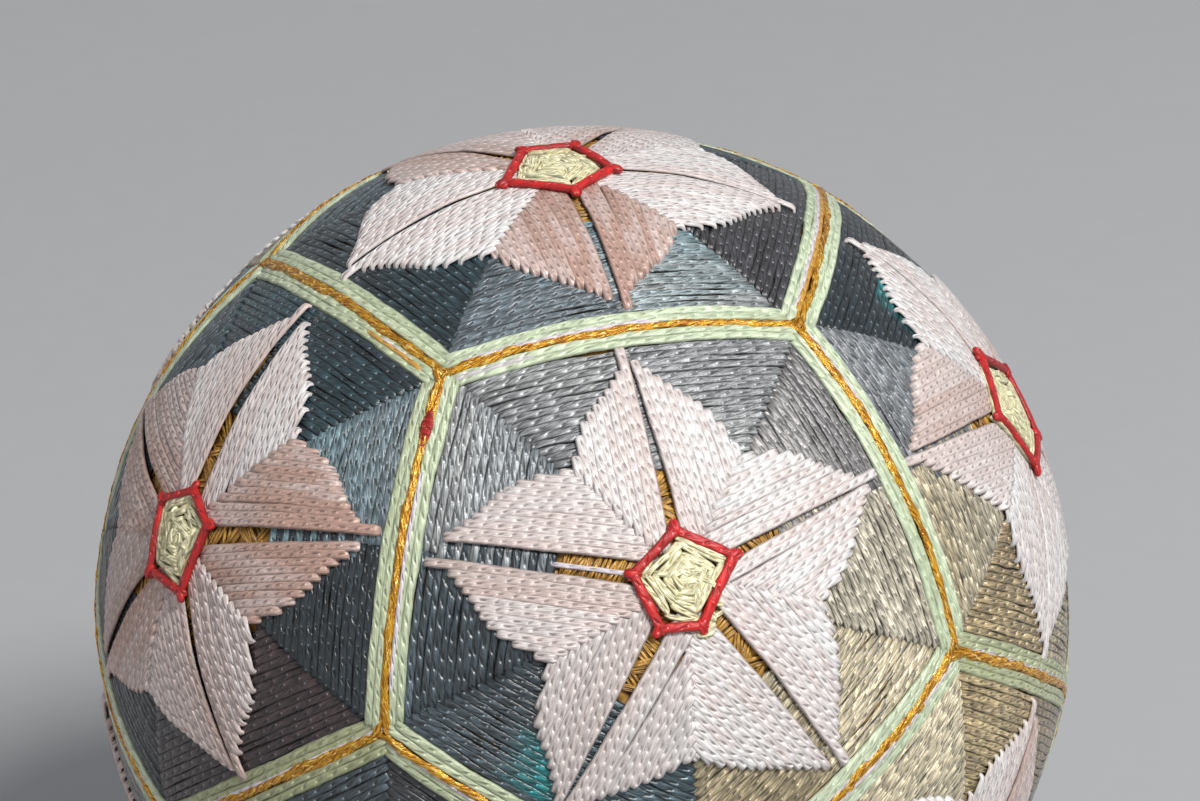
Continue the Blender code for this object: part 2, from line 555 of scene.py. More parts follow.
FLOWERS = {
    "front": Flower(
        shift=(1.09, -0.98),
        petals=(
            Petal(28.2, 1.0, 0.62, -0.10, 2.5, 2.4),
            Petal(28.9, -0.6, 1.15, 0.95, 3.2, 3.0),
            Petal(28.6, 0.6, 0.75, -0.15, 3.6, 0.9),
            Petal(28.9, 1.0, 0.70, 0.45, 1.0, 2.1),
            Petal(28.0, 2.4, 0.45, -0.10, 1.9, 2.5),
        ),
        notches=(Place(17.7, -4.9), Place(16.3, 2.4), Place(18.7, -2.0), Place(17.0, 6.6), Place(17.35, 0.7)),
        ring=(Place(5.7, 3.0), Place(5.75, 4.0), Place(6.1, -1.0), Place(5.3, -24.0), Place(6.1, 0.0)),
    ),
    "top": Flower(
        shift=(1.3, -0.4),
        petals=(
            Petal(28.0, 0.8, 0.45, 0.30, 1.4, 2.0),
            Petal(26.9, 1.7, 0.35, 0.10, 2.8, 1.6),
            Petal(28.2, 0.0, 0.40, 0.20, 2.2, 1.8),
            Petal(28.0, -1.0, 0.40, 0.10, 1.6, 2.4),
            Petal(29.0, -4.4, 0.30, 0.20, 3.0, 3.0),
        ),
        notches=(Place(18.9, -4.9), Place(19.1, 0.3), Place(18.5, 1.0), Place(18.9, -5.4), Place(19.9, -0.8)),
        ring=(Place(7.0, 2.4), Place(6.3, -7.8), Place(6.2, 5.9), Place(6.6, -12.0), Place(7.0, 0.3)),
    ),
    "left": Flower(
        shift=(-1.43, 0.64),
        petals=(
            Petal(28.5, 3.2, 1.00, 0.60, 3.0, 1.0),
            Petal(29.0, 3.0, 0.50, 0.20, 1.6, 2.0),
            Petal(28.0, 0.0, 0.50, 0.55, 1.8, 1.4),
            Petal(29.2, -1.8, 0.40, -0.10, 1.0, 4.3),
            Petal(27.9, 1.3, 1.00, 0.30, 2.7, 2.9),
        ),
        notches=(Place(20.6, 5.2), Place(18.2, 0.0), Place(20.2, -3.6), Place(16.1, -4.1), Place(18.2, 0.8)),
        ring=(Place(5.6, -0.5), Place(6.1, -6.1), Place(6.3, 3.7), Place(6.6, -0.6), Place(5.8, 13.0)),
    ),
    "right": Flower(
        shift=(0.3, 0.2),
        petals=(
            Petal(27.6, -3.6, 0.30, 0.10, 2.0, 2.2),
            Petal(28.2, -3.3, 0.40, -0.05, 2.2, 0.4),
            Petal(28.7, -1.9, 0.15, -0.10, 3.0, 1.5),
            Petal(28.2, 0.0, 0.40, 0.20, 2.0, 1.8),
            Petal(28.4, 1.0, 0.40, 0.10, 1.8, 2.0),
        ),
        notches=(Place(18.6, -4.7), Place(17.2, -3.4), Place(19.0, -3.0), Place(18.2, 0.0), Place(18.0, 1.0)),
        ring=(Place(7.4, 0.0), Place(7.4, -2.0), Place(7.2, 3.0), Place(7.0, 0.0), Place(7.2, -3.0)),
    ),
}


def flower_of(face):
    """The flower on a pentagon: those at the front as listed, the others each a little off."""
    if face.name in FLOWERS:
        return FLOWERS[face.name]
    rng = fresh(face.index, 73)
    petals = []
    for _ in range(PETALS):
        gap_in, gap_out = rng.uniform(0.3, 1.0), rng.uniform(-0.1, 0.6)
        bulges = rng.uniform(1.0, 3.2, 2)
        petals.append(Petal(rng.uniform(27.8, 28.9), rng.normal(0.0, 1.0), gap_in, gap_out, *bulges))
    notches = tuple(Place(rng.uniform(16.8, 19.0), rng.normal(0.0, 2.0)) for _ in range(PETALS))
    ring = tuple(Place(rng.uniform(5.4, 6.6), rng.normal(0.0, 4.0)) for _ in range(PETALS))
    return Flower(tuple(rng.normal(0.0, 0.5, 2)), tuple(petals), notches, ring)


def flower_middle(flower):
    """The flower's own middle on the pentagon's sheet."""
    return np.tan(np.radians(flower.shift))


def petal_tip(flower, petal):
    """The tip of a petal on the pentagon's sheet."""
    tip = flower.petals[petal]
    return sheet_point(math.radians(tip.reach), petal * PETAL_STEP + math.radians(tip.turn))


def petal_notch(flower, petal):
    """The notch between this petal and the next on the pentagon's sheet."""
    place = flower.notches[petal % PETALS]
    return sheet_point(math.radians(place.reach), petal * PETAL_STEP + HALF_STEP + math.radians(place.turn))


def ring_corner(flower, petal, scale=1.0):
    """A corner of the ring round the flower's centre on the pentagon's sheet."""
    reach, turn = flower.ring[petal]
    around = petal * PETAL_STEP + math.radians(turn)
    size = scale * math.tan(math.radians(reach))
    return flower_middle(flower) + size * np.array([math.cos(around), math.sin(around)])


# Stitching the field -------------------------------------------------------------------------------


def petal_cover(reach):
    """Half the width of a petal where the row at this reach passes under it, as an angle."""
    slope = (TIP_REACH - NOTCH_REACH * math.cos(HALF_STEP)) / (NOTCH_REACH * math.sin(HALF_STEP))
    return max((TIP_REACH - reach) / slope, 0.0)


def row_reaches(rng):
    """The reach of each row of one side, outermost first, with the slips of a hand's spacing."""
    reaches = []
    reach = FIRST_ROW
    for _ in range(FIELD_ROWS):
        reaches.append(reach)
        reach -= ROW_PITCH * (1.0 + 0.05 * rng.normal())
    scale = (FIRST_ROW - reaches[-1]) / ((FIELD_ROWS - 1) * ROW_PITCH)
    return [FIRST_ROW - (FIRST_ROW - reach) / scale for reach in reaches]


def field_colour(face, side, late, row, rng):
    """Colour of a row along one wing, as a function of the share of the way along."""
    outer, inner = wing_dyes(face, side, late)
    depth = np.clip(row / (FIELD_ROWS - 1) + 0.08 * rng.normal(), 0.0, 1.0)
    base = varied(mixed(outer, inner, depth), rng, 0.13)
    other = varied(mixed(outer, inner, 1.0 - depth), rng, 0.16)
    waves = rng.uniform(0.0, math.tau, 2)
    stretch = rng.uniform(3.0, 7.0)

    accent, first_row, last_row = ACCENTS.get((face.name, side, late), ("slate", 0, 0))
    strength = 0.9 if first_row <= row < last_row else 0.0

    def colour(share):
        swing = 0.5 + 0.5 * np.sin(stretch * share + waves[0])
        light = 1.0 + 0.08 * np.sin(9.0 * share + waves[1])
        from_petal = share if late else 1.0 - share
        near = strength * np.clip(1.5 - from_petal / 0.3, 0.0, 1.0)
        return mixed(mixed(base, other, 0.35 * swing), DYE[accent], near) * light[:, None]

    return colour


def slit_swell(rng):
    """Width along a row's thread: now and then it narrows and leaves a slit beside it."""
    if rng.uniform() < 0.6:
        return None
    place, depth, length = rng.uniform(0.1, 0.9), rng.uniform(0.25, 0.5), rng.uniform(0.06, 0.2)
    return lambda share: 1.0 - depth * np.exp(-(((share - place) / length) ** 2))


def stitch_wing(threads, face, side, late, reaches, rng):
    """The visible stretches of one side's rows, on one side of its petal."""
    sign = 1.0 if late else -1.0
    for row, reach in enumerate(reaches):
        corner = side_point(side, reach, sign)
        half_width = math.degrees(petal_cover(reach))
        cover = half_width / math.degrees(math.atan(math.tan(reach) * math.tan(HALF_STEP)))
        inner_share = max(cover - ROW_UNDERLAP, 0.0)
        if inner_share > LAST_SHARE:
            continue
        inner = side_point(side, reach, sign * inner_share)
        colour = field_colour(face, side, late, row, rng)
        swell = slit_swell(rng)
        if late:
            threads.lay(face, inner, corner, FIELD_RADIUS, rng, colour, (CUT, TUCK), swell=swell)
        else:
            threads.lay(face, corner, inner, FIELD_RADIUS, rng, colour, (HEAD, CUT), swell=swell)


def stitch_gap_rows(threads, face, side, reaches, rng):
    """The short stretches of the rows that show in the gap along a petal's axis."""
    for row, reach in enumerate(reaches):
        width = math.degrees(petal_cover(reach))
        if width < 0.9:
            continue
        span = min(width, 2.4) / math.degrees(math.atan(math.tan(reach) * math.tan(HALF_STEP)))
        start, end = side_point(side, reach, -span), side_point(side, reach, span)
        colour = field_colour(face, side, row % 2, row, rng)
        threads.lay(face, start, end, FIELD_RADIUS, rng, colour, (CUT, CUT))


def stitch_field(faces, name, members, material):
    """The field of some of the pentagons, as one piece."""
    threads = Threads(name, step=0.95 * MM)
    for member in members:
        face = faces[member]
        for side in range(PETALS):
            reaches = row_reaches(fresh(face.index, side, 1))
            stitch_wing(threads, face, side, False, reaches, fresh(face.index, side, 2))
            stitch_wing(threads, face, side, True, reaches, fresh(face.index, side, 3))
            stitch_gap_rows(threads, face, side, reaches, fresh(face.index, side, 4))
    return threads.build(material)


# Stitching the bands -------------------------------------------------------------------------------

# How far the green of some sides' bands is mixed towards moss, from 0 to 1: painted shade, darker
# and more olive on bands that lie in dim light.
BAND_MOSS_SHADE = {
    ("right", 2): 0.65,
    ("low_front_right", 4): 0.65,
    ("left", 3): 0.75,
    ("low_front_left", 0): 0.30,
    ("low_front_left", 1): 0.75,
    ("front", 1): 0.15,
    ("front", 2): 0.30,
    ("left", 4): 0.30,
    ("left", 0): 0.20,
    ("top", 4): 0.20,
}


def band_colour(moss_shade, rng):
    """Colour of a band's thread, as a function of the share of the way along."""
    # The share mixes the greens towards moss: painted shade, darker and more olive for bands in dim light.
    pale = varied(mixed(DYE["mint"], DYE["moss"], moss_shade), rng, 0.05)
    deep = varied(mixed(DYE["sage"], DYE["moss"], moss_shade), rng, 0.05)
    waves = rng.uniform(0.0, math.tau)

    def colour(share):
        return mixed(pale, deep, 0.25 + 0.2 * np.sin(6.0 * share + waves))

    return colour


def stitch_bands(faces, material):
    """Two pale green threads along each side of each pentagon."""
    threads = Threads("band_threads")
    for face in faces.values():
        rng = fresh(face.index, 11)
        for side in range(PETALS):
            moss_shade = BAND_MOSS_SHADE.get((face.name, side), 0.0)
            for reach in BAND_ROWS:
                start, end = side_point(side, reach, -1.0), side_point(side, reach, 1.0)
                threads.lay(
                    face, start, end, BAND_RADIUS, rng, band_colour(moss_shade, rng), (HEAD, TUCK),
                    width=BAND_WIDTH, thickness=BAND_THICKNESS, wander=0.05 * MM,
                )
    return threads.build(material)


# Stitching the petals ------------------------------------------------------------------------------


def petal_height(share_start, share_end):
    """Radius along a petal's thread, lower near the ring, where no field lies under it."""

    def radius(share):
        reach = share_start + (share_end - share_start) * share
        rise = np.clip((reach - math.radians(8.0)) / math.radians(7.0), 0.0, 1.0)
        return PETAL_RADIUS - PETAL_SINK * (1.0 - rise * rise * (3.0 - 2.0 * rise))

    return radius


def petal_colour(tint, grey, share_out, rng):
    """Colour of a petal's thread: pinker near the petal's axis and in streaks."""
    pinkness = np.clip(tint + 0.35 * (1.0 - share_out) ** 2 - 0.12 + 0.06 * rng.normal(), 0.0, 1.0)
    if pinkness < 0.4:
        base = mixed(DYE["white"], DYE["blush"], pinkness / 0.4)
    else:
        base = mixed(DYE["blush"], DYE["rose"], (pinkness - 0.4) / 0.6)
    # Painted shade: grey draws the colour towards mist on halves that face away from the light.
    base = varied(mixed(base, DYE["mist"], grey), rng, 0.03)
    streak = mixed(base, DYE["pink"], 0.60 - 0.5 * grey)
    waves = rng.uniform(0.0, math.tau)
    stretch = rng.uniform(3.0, 8.0)

    def colour(share):
        return mixed(base, streak, np.clip(np.sin(stretch * share + waves), 0.0, 1.0))

    return colour


# Slits that open at the ring within one half of a petal: after how many threads, and how wide in
# degrees. The key's last entry is True for the petal's anticlockwise half.
PETAL_SLITS = {
    ("front", 2, True): (3, 0.45),
    ("front", 4, False): (2, 0.35),
    ("front", 0, False): (4, 0.15),
    ("top", 0, True): (3, 0.25),
    ("top", 2, False): (4, 0.30),
    ("left", 4, True): (3, 0.30),
    ("left", 0, False): (4, 0.30),
    ("right", 2, True): (3, 0.30),
}


def stitch_petal_half(threads, face, flower, petal, late):
    """The threads of one half of a petal, parallel to its axis."""
    rng = fresh(face.index, petal, int(late), 21)
    middle = flower_middle(flower)
    tip = petal_tip(flower, petal)
    corner = petal_notch(flower, petal if late else petal - 1)
    axis = direction_of(tip - middle)
    shape = flower.petals[petal]
    reach_out = abs(float(axis[0] * (corner - middle)[1] - axis[1] * (corner - middle)[0]))
    gap_in = math.tan(math.radians(shape.gap_in + PETAL_SLACK))
    gap_out = math.tan(math.radians(shape.gap_out + PETAL_SLACK))
    pitch = math.tan(PETAL_PITCH)
    count = int(round((reach_out - gap_in) / pitch))
    tint = petal_tint(face, petal, int(late))
    grey = PETAL_PAINTED_SHADES.get((face.name, petal, late), 0.0)
    bulge = shape.bulge_after if late else shape.bulge_before
    slit_after, slit_width = PETAL_SLITS.get((face.name, petal, late), (0, 0.0))
    opening = math.tan(math.radians(slit_width))
    for thread in range(count):
        inward = gap_in + (thread + 0.5) * (reach_out - gap_in - opening) / count
        if thread >= slit_after:
            inward += opening
        share_in = inward / reach_out
        share_out = (gap_out + (thread + 0.5) * (reach_out - gap_out) / count) / reach_out
        start = middle + share_in * (corner - middle)
        swing = math.sin(math.pi * max(share_out, 0.0) ** BULGE_SHAPE)
        end = tip + share_out * (corner - tip) + math.tan(math.radians(bulge)) * swing * axis
        if share_out > NOTCH_MARGIN:
            continue
        if thread == 0 and late:
            end = end + LONGEST_EXTRA * axis
        along = float((start - middle) @ axis)
        if along < PETAL_START:
            start = start + (PETAL_START - along) * axis
        reach_start = math.atan(float(np.linalg.norm(start)))
        reach_end = math.atan(float(np.linalg.norm(end)))
        colour = petal_colour(tint, grey, thread / count, rng)
        first = HEAD if late else SUNK
        threads.lay(
            face, start, end, petal_height(reach_start, reach_end), rng, colour, (first, PETAL_END),
            width=PETAL_WIDTH, thickness=PETAL_THICKNESS, period=PETAL_TWIST,
        )


def stitch_petals(faces, name, members, material):
    """The petals of some of the pentagons, as one piece."""
    threads = Threads(name)
    for member in members:
        face = faces[member]
        flower = flower_of(face)
        for petal in range(PETALS):
            stitch_petal_half(threads, face, flower, petal, False)
            stitch_petal_half(threads, face, flower, petal, True)
    return threads.build(material)


# Gold lines, guide threads, rings and centres --------------------------------------------------------


def edges(faces):
    """Each pentagon edge once: the face that owns it and its side there."""
    for face in faces.values():
        for side, other in enumerate(face.neighbours):
            if face.index < faces[other].index:
                yield face, side


def lay_gold(threads, face, start, end, lift, rng, width=GOLD_WIDTH):
    """One metallic strand, of uneven fullness."""
    waves = rng.uniform(0.0, math.tau, 2)

    def swell(share):
        return 1.0 + 0.14 * np.sin(60.0 * share + waves[0]) + 0.10 * np.sin(131.0 * share + waves[1])

    threads.lay(
        face, start, end, GOLD_RADIUS + lift, rng, varied(DYE["gold"], rng, 0.06), (TUCK, TUCK),
        width=width, thickness=GOLD_THICKNESS, wander=0.10 * MM, period=GOLD_TWIST, swell=swell,
    )


def stitch_gold(faces, material):
    """Two metallic strands along each edge, which cross now and then, and a knot at each corner."""
    threads = Threads("gold_threads", step=0.55 * MM)
    for face, side in edges(faces):
        rng = fresh(face.index, side, 31)
        for strand in (-1.0, 1.0):
            offset = GOLD_OFFSET * strand
            first = side_point(side, EDGE_REACH + offset * rng.uniform(0.5, 1.2), -1.0)
            last = side_point(side, EDGE_REACH + offset * rng.uniform(-0.9, 1.2), 1.0)
            lay_gold(threads, face, first, last, 0.06 * MM * strand, rng)
    for face in faces.values():
        rng = fresh(face.index, 35)
        for side in range(PETALS):
            share = rng.uniform(0.90, 0.95)
            start = side_point(side, EDGE_REACH + math.radians(0.15), share)
            end = side_point(side + 1, EDGE_REACH + math.radians(0.15), -share)
            lay_gold(threads, face, start, end, 0.16 * MM, rng, GOLD_KNOT_WIDTH)
    return threads.build(material)


# Guide threads, by pentagon and side: the reach in degrees past the edge (inward when below 0), the
# stretch of the side, from its clockwise corner at -1 to its other corner at 1, and dye.
Guide = namedtuple("Guide", "offset low high dye", defaults=("lilac",))
GUIDES = {
    ("front", 1): (Guide(-0.78, -0.45, 0.80),),
    ("front", 4): (Guide(0.62, 0.30, 1.0),),
    ("front", 0): (Guide(-1.38, 0.50, 0.98), Guide(0.60, -0.2, 0.9)),
    ("front", 2): (Guide(0.55, -0.8, 0.9),),
    ("front", 3): (Guide(-0.58, -0.9, 0.3), Guide(0.58, -0.5, 0.95)),
    ("top", 1): (Guide(-0.85, -0.95, 0.95), Guide(-0.42, -0.95, 0.6, "ochre")),
    ("left", 0): (Guide(-1.40, -0.93, -0.40, "ochre"), Guide(-1.14, -0.85, -0.50)),
}
GAP_GUIDES = {"front": (1,), "top": (), "left": (), "right": ()}  # petals whose gap shows a guide


def guides_of(faces, face, side):
    """The guide threads along one edge: as listed, or a few by chance."""
    other = faces[face.neighbours[side]]
    other_side = other.neighbours.index(face.name)
    if (face.name, side) in GUIDES:
        return face, side, GUIDES[face.name, side]
    if (other.name, other_side) in GUIDES:
        return other, other_side, GUIDES[other.name, other_side]
    rng = fresh(face.index, side, 32)
    chosen = []
    for offset in (-0.60, 0.60):
        if rng.uniform() < 0.6:
            continue
        low, high = sorted(rng.uniform(-1.0, 1.0, 2))
        if high - low < 0.6:
            low, high = -1.0, 1.0
        chosen.append(Guide(offset, low, high))
    return face, side, chosen


def stitch_guides(faces, material):
    """Lilac and ochre guide threads that show beside the gold, or in a petal's gap, in places."""
    threads = Threads("guide_threads")
    for first_face, first_side in edges(faces):
        face, side, guides = guides_of(faces, first_face, first_side)
        rng = fresh(face.index, side, 34)
        for guide in guides:
            reach = EDGE_REACH + math.radians(guide.offset)
            lift = 0.12 * MM if abs(guide.offset) > 1.0 else 0.10 * MM
            threads.lay(
                face, side_point(side, reach, guide.low), side_point(side, reach, guide.high),
                BAND_RADIUS + lift, rng,
                varied(DYE[guide.dye], rng, 0.04), (SUNK, SUNK), width=GUIDE_WIDTH,
                thickness=GUIDE_THICKNESS, wander=0.04 * MM,
            )
    for face in faces.values():
        flower = flower_of(face)
        rng = fresh(face.index, 33)
        shown = GAP_GUIDES.get(face.name, tuple(np.flatnonzero(rng.uniform(size=PETALS) < 0.3)))
        for petal in shown:
            tip = petal_tip(flower, petal)
            start = ring_corner(flower, petal, 0.9)
            end = start + (tip - start) * 0.40
            threads.lay(
                face, start, end, FIELD_RADIUS + 0.05 * MM, rng,
                varied(DYE["lilac"], rng, 0.04), (TUCK, TUCK), width=GAP_GUIDE_WIDTH,
                thickness=GAP_GUIDE_THICKNESS,
            )
    return threads.build(material)


PAD_SHAPES = {"front": (1.0, 1.0, 0.70, 1.28, 1.04)}  # how far the pad fills each corner of the ring
PAD_SPILLS = {"front": (3, 9)}  # the ring's corner past which loose stitches lie, and their number
PAD_SCALE = 0.92  # size of the pad's outermost round, as a share of the ring's
PAD_STEP = 0.023  # how much smaller each stitch of the spiral is than the one before
PAD_END = 0.05
PAD_CURLS = 15
PAD_DOME = 0.0005  # how much higher the pad's middle is than its rim


def stitch_rings(faces, material):
    """A red thread round each flower's centre, with a small knot at each corner."""
    threads = Threads("ring_threads", step=0.6 * MM)
    for face in faces.values():
        flower = flower_of(face)
        rng = fresh(face.index, 41)
        for petal in range(PETALS):
            start, end = ring_corner(flower, petal), ring_corner(flower, (petal + 1) % PETALS)
            threads.lay(
                face, start, end, RING_RADIUS, rng, varied(DYE["red"], rng, 0.08), (RING_TURN, RING_TIE),
                width=RING_WIDTH, thickness=RING_THICKNESS, wander=0.05 * MM,
            )
            low, high = ring_corner(flower, petal, 0.93), ring_corner(flower, petal, 1.13)
            threads.lay(
                face, low, high, RING_RADIUS + 0.1 * MM, rng, varied(DYE["red"], rng, 0.08),
                (RING_TURN, RING_TURN), width=KNOT_WIDTH, thickness=KNOT_THICKNESS,
            )
    stitch_red_wrap(threads, faces)
    stitch_red_speck(threads, faces)
    return threads.build(material)


WHIP_TURNS = 15
WHIP_START = 11.8  # degrees along the edge from its middle, towards its clockwise corner
WHIP_RUN = 4.4  # degrees that the whipping covers


def stitch_red_wrap(threads, faces):
    """A short whipping of red thread over the gold line at the left of the front pentagon."""
    face = faces["front"]
    rng = fresh(43)
    half_edge = math.tan(EDGE_REACH) * math.tan(HALF_STEP)
    for turn in range(WHIP_TURNS):
        share = (turn + 0.5) / WHIP_TURNS
        along = math.tan(math.radians(WHIP_START + WHIP_RUN * share)) / math.cos(EDGE_REACH) / half_edge
        spread = math.radians(0.35 + 0.50 * math.sin(math.pi * share))
        low = side_point(1, EDGE_REACH - spread, -along - 0.006)
        high = side_point(1, EDGE_REACH + spread, -along + 0.006)
        threads.lay(
            face, low, high, GOLD_RADIUS + 0.18 * MM, rng, varied(DYE["deep_red"], rng, 0.15),
            (WHIP, WHIP), width=WHIP_WIDTH, thickness=WHIP_THICKNESS,
        )


def stitch_red_speck(threads, faces):
    """A caught wisp of red in the right pentagon's field."""
    face = faces["right"]
    low, high = side_point(1, math.radians(27.3), -0.93), side_point(1, math.radians(28.1), -0.95)
    threads.lay(
        face, low, high, FIELD_RADIUS + 0.20 * MM, fresh(44), DYE["deep_red"], (WHIP, WHIP),
        width=SPECK_WIDTH, thickness=SPECK_THICKNESS,
    )


def lay_curl(threads, face, spot, size, lift, rng):
    """One short loose stitch of the pad, any way round."""
    way = rng.uniform(0.0, math.tau)
    arm = size * np.array([math.cos(way), math.sin(way)])
    threads.lay(
        face, spot - arm, spot + arm, CENTRE_RADIUS + lift, rng, varied(DYE["cream"], rng, 0.06),
        (CURL, CURL), width=CURL_WIDTH, thickness=PAD_THICKNESS, wander=0.20 * MM, lift=0.06 * MM,
        period=PETAL_TWIST,
    )


def stitch_centres(faces, material):
    """The cream pad inside each ring: a loose five-sided spiral of stitches with curls on it."""
    threads = Threads("centre_threads", step=0.6 * MM)
    for face in faces.values():
        flower = flower_of(face)
        rng = fresh(face.index, 51)
        middle = flower_middle(flower)
        shape = PAD_SHAPES.get(face.name, (1.0,) * PETALS)
        scale = PAD_SCALE
        stitch = 0
        while scale > PAD_END:
            ends = []
            for petal in (stitch % PETALS, (stitch + 1) % PETALS):
                fill = scale * (1.0 + (shape[petal] - 1.0) * scale) * (1.0 + 0.10 * rng.normal())
                ends.append(ring_corner(flower, petal, fill))
            shade = varied(mixed(DYE["cream"], DYE["honey"], rng.uniform(0.0, 0.6) ** 2), rng, 0.05)
            threads.lay(
                face, *ends, CENTRE_RADIUS + PAD_DOME * (1.0 - scale), rng, shade, (CURL, CURL),
                width=PAD_WIDTH, thickness=PAD_THICKNESS, wander=0.18 * MM, lift=0.10 * MM,
                period=PETAL_TWIST,
            )
            scale -= PAD_STEP
            stitch += 1
        for _ in range(PAD_CURLS):
            turn = rng.uniform(0.0, math.tau)
            reach = rng.uniform(0.0, 0.060)
            spot = middle + reach * np.array([math.cos(turn), math.sin(turn)])
            lay_curl(threads, face, spot, rng.uniform(0.012, 0.026), (0.44 - 3.0 * reach) * MM, rng)
        corner, loose = PAD_SPILLS.get(face.name, (0, 0))
        for _ in range(loose):
            share = rng.uniform(0.0, 0.45)
            near, far = (ring_corner(flower, (corner + step) % PETALS, 1.16) for step in (0, 1))
            spot = mixed(near, far, share) + rng.normal(0.0, 0.005, 2)
            lay_curl(threads, face, spot, rng.uniform(0.008, 0.016), 0.12 * MM, rng)
    return threads.build(material)


# The wound ball under the stitching ------------------------------------------------------------------


def wound_core(material):
    """The ball of wound thread under the stitching, uneven where bundles of thread cross."""
    bpy.ops.mesh.primitive_ico_sphere_add(subdivisions=6, radius=1.0)
    core = bpy.context.object
    mesh = core.data
    core.name = "wound_core"
    mesh.name = "wound_core"
    count = len(mesh.vertices)
    places = np.empty(count * 3)
    mesh.vertices.foreach_get("co", places)
    directions = direction_of(places.reshape(-1, 3))
    rng = fresh(61)
    height = np.zeros(count)
    for _ in range(9):
        axis = direction_of(rng.normal(size=3))
        level = np.arcsin(np.clip(directions @ axis, -1.0, 1.0))
        height += np.abs(np.sin(level * rng.uniform(28.0, 60.0) + rng.uniform(0.0, math.tau)))
    height = (height / height.max() - 0.6) * 0.25 * MM
    places = CENTRE + directions * (WRAP_RADIUS + height - 0.08 * MM)[:, None]
    mesh.vertices.foreach_set("co", settled(places).astype(np.float32).ravel())
    mesh.shade_smooth()
    mesh.materials.append(material)
    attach(core, BODY)
    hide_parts("wound_ball")
    return core


WRAP_STRANDS = 26  # along each petal's axis
WRAP_BUNDLE = 4  # strands that lie with the same slant
WRAP_START = 4.4  # degrees from the flower's middle to the first strand
WRAP_PITCH = 0.37  # degrees from strand to strand
WRAP_ARM = math.tan(math.radians(1.7))  # half a strand's length, on the sheet


def wrap_strands(faces, material):
    """Fine strands of the wound thread, where they show between the petals and round the pads."""
    threads = Threads("wrap_strands", step=1.6 * MM)
    for face in faces.values():
        flower = flower_of(face)
        for petal in range(PETALS):
            rng = fresh(face.index, petal, 62)
            tip = petal_tip(flower, petal)
            middle = flower_middle(flower)
            axis = direction_of(tip - middle)
            across = np.array([-axis[1], axis[0]])
            slant = 0.0
            for strand in range(WRAP_STRANDS):
                if strand % WRAP_BUNDLE == 0:
                    slant = rng.uniform(-0.9, 0.9)
                reach = math.radians(WRAP_START + WRAP_PITCH * strand + rng.normal(0.0, 0.10))
                spot = middle + axis * math.tan(reach)
                sway = (across + axis * (slant + rng.normal(0.0, 0.08))) * WRAP_ARM
                tone = mixed(DYE["ochre"], DYE["umber"], np.clip(0.2 + 0.25 * rng.normal(), 0.0, 1.0))
                threads.lay(
                    face, spot - sway, spot + sway, WRAP_RADIUS + 0.12 * MM, rng, tone, (CUT, CUT),
                    width=WRAP_WIDTH, thickness=WRAP_THICKNESS, lift=0.12 * MM,
                )
    return threads.build(material)


# Materials -----------------------------------------------------------------------------------------


class Nodes:
    """A short way to write a material's node tree."""

    def __init__(self, name):
        self.material = bpy.data.materials.new(name)
        self.material.use_nodes = True
        self.tree = self.material.node_tree
        self.shader = self.tree.nodes["Principled BSDF"]

    def link(self, value, socket):
        if isinstance(value, bpy.types.NodeSocket):
            self.tree.links.new(value, socket)
        else:
            socket.default_value = value

    def math(self, operation, first, second=0.0, third=0.0):
        node = self.tree.nodes.new("ShaderNodeMath")
        node.operation = operation
        for socket, value in zip(node.inputs, (first, second, third)):
            self.link(value, socket)
        return node.outputs[0]

    def times(self, first, second):
        return self.math("MULTIPLY", first, second)

    def shade(self, name, value):
        """Sets or feeds one of the surface's own inputs."""
        self.link(value, self.shader.inputs[name])

    def attribute(self, name, output):
        node = self.tree.nodes.new("ShaderNodeAttribute")
        node.attribute_name = name
        return node.outputs[output]

    def split(self, vector):
        node = self.tree.nodes.new("ShaderNodeSeparateXYZ")
        self.link(vector, node.inputs[0])
        return node.outputs

    def join(self, x, y, z):
        node = self.tree.nodes.new("ShaderNodeCombineXYZ")
        for socket, value in zip(node.inputs, (x, y, z)):
            self.link(value, socket)
        return node.outputs[0]

    def noise(self, vector, scale, detail=2.0):
        node = self.tree.nodes.new("ShaderNodeTexNoise")
        self.link(vector, node.inputs["Vector"])
        node.inputs["Scale"].default_value = scale
        node.inputs["Detail"].default_value = detail
        return node.outputs["Fac"]

    def remap(self, value, low, high, to_low, to_high):
        node = self.tree.nodes.new("ShaderNodeMapRange")
        node.interpolation_type = "SMOOTHSTEP"
        for socket, number in zip(node.inputs, (value, low, high, to_low, to_high)):
            self.link(number, socket)
        return node.outputs[0]

    def mix(self, first, second, share, blend="MIX"):
        node = self.tree.nodes.new("ShaderNodeMix")
        node.data_type = "RGBA"
        node.blend_type = blend
        colours = [socket for socket in node.inputs if socket.type == "RGBA"]
        self.link(share, node.inputs[0])
        self.link(first, colours[0])
        self.link(second, colours[1])
        return [socket for socket in node.outputs if socket.type == "RGBA"][0]

    def bump(self, height, distance):
        node = self.tree.nodes.new("ShaderNodeBump")
        node.inputs["Strength"].default_value = 1.0
        node.inputs["Distance"].default_value = distance
        self.link(height, node.inputs["Height"])
        self.link(node.outputs[0], self.shader.inputs["Normal"])


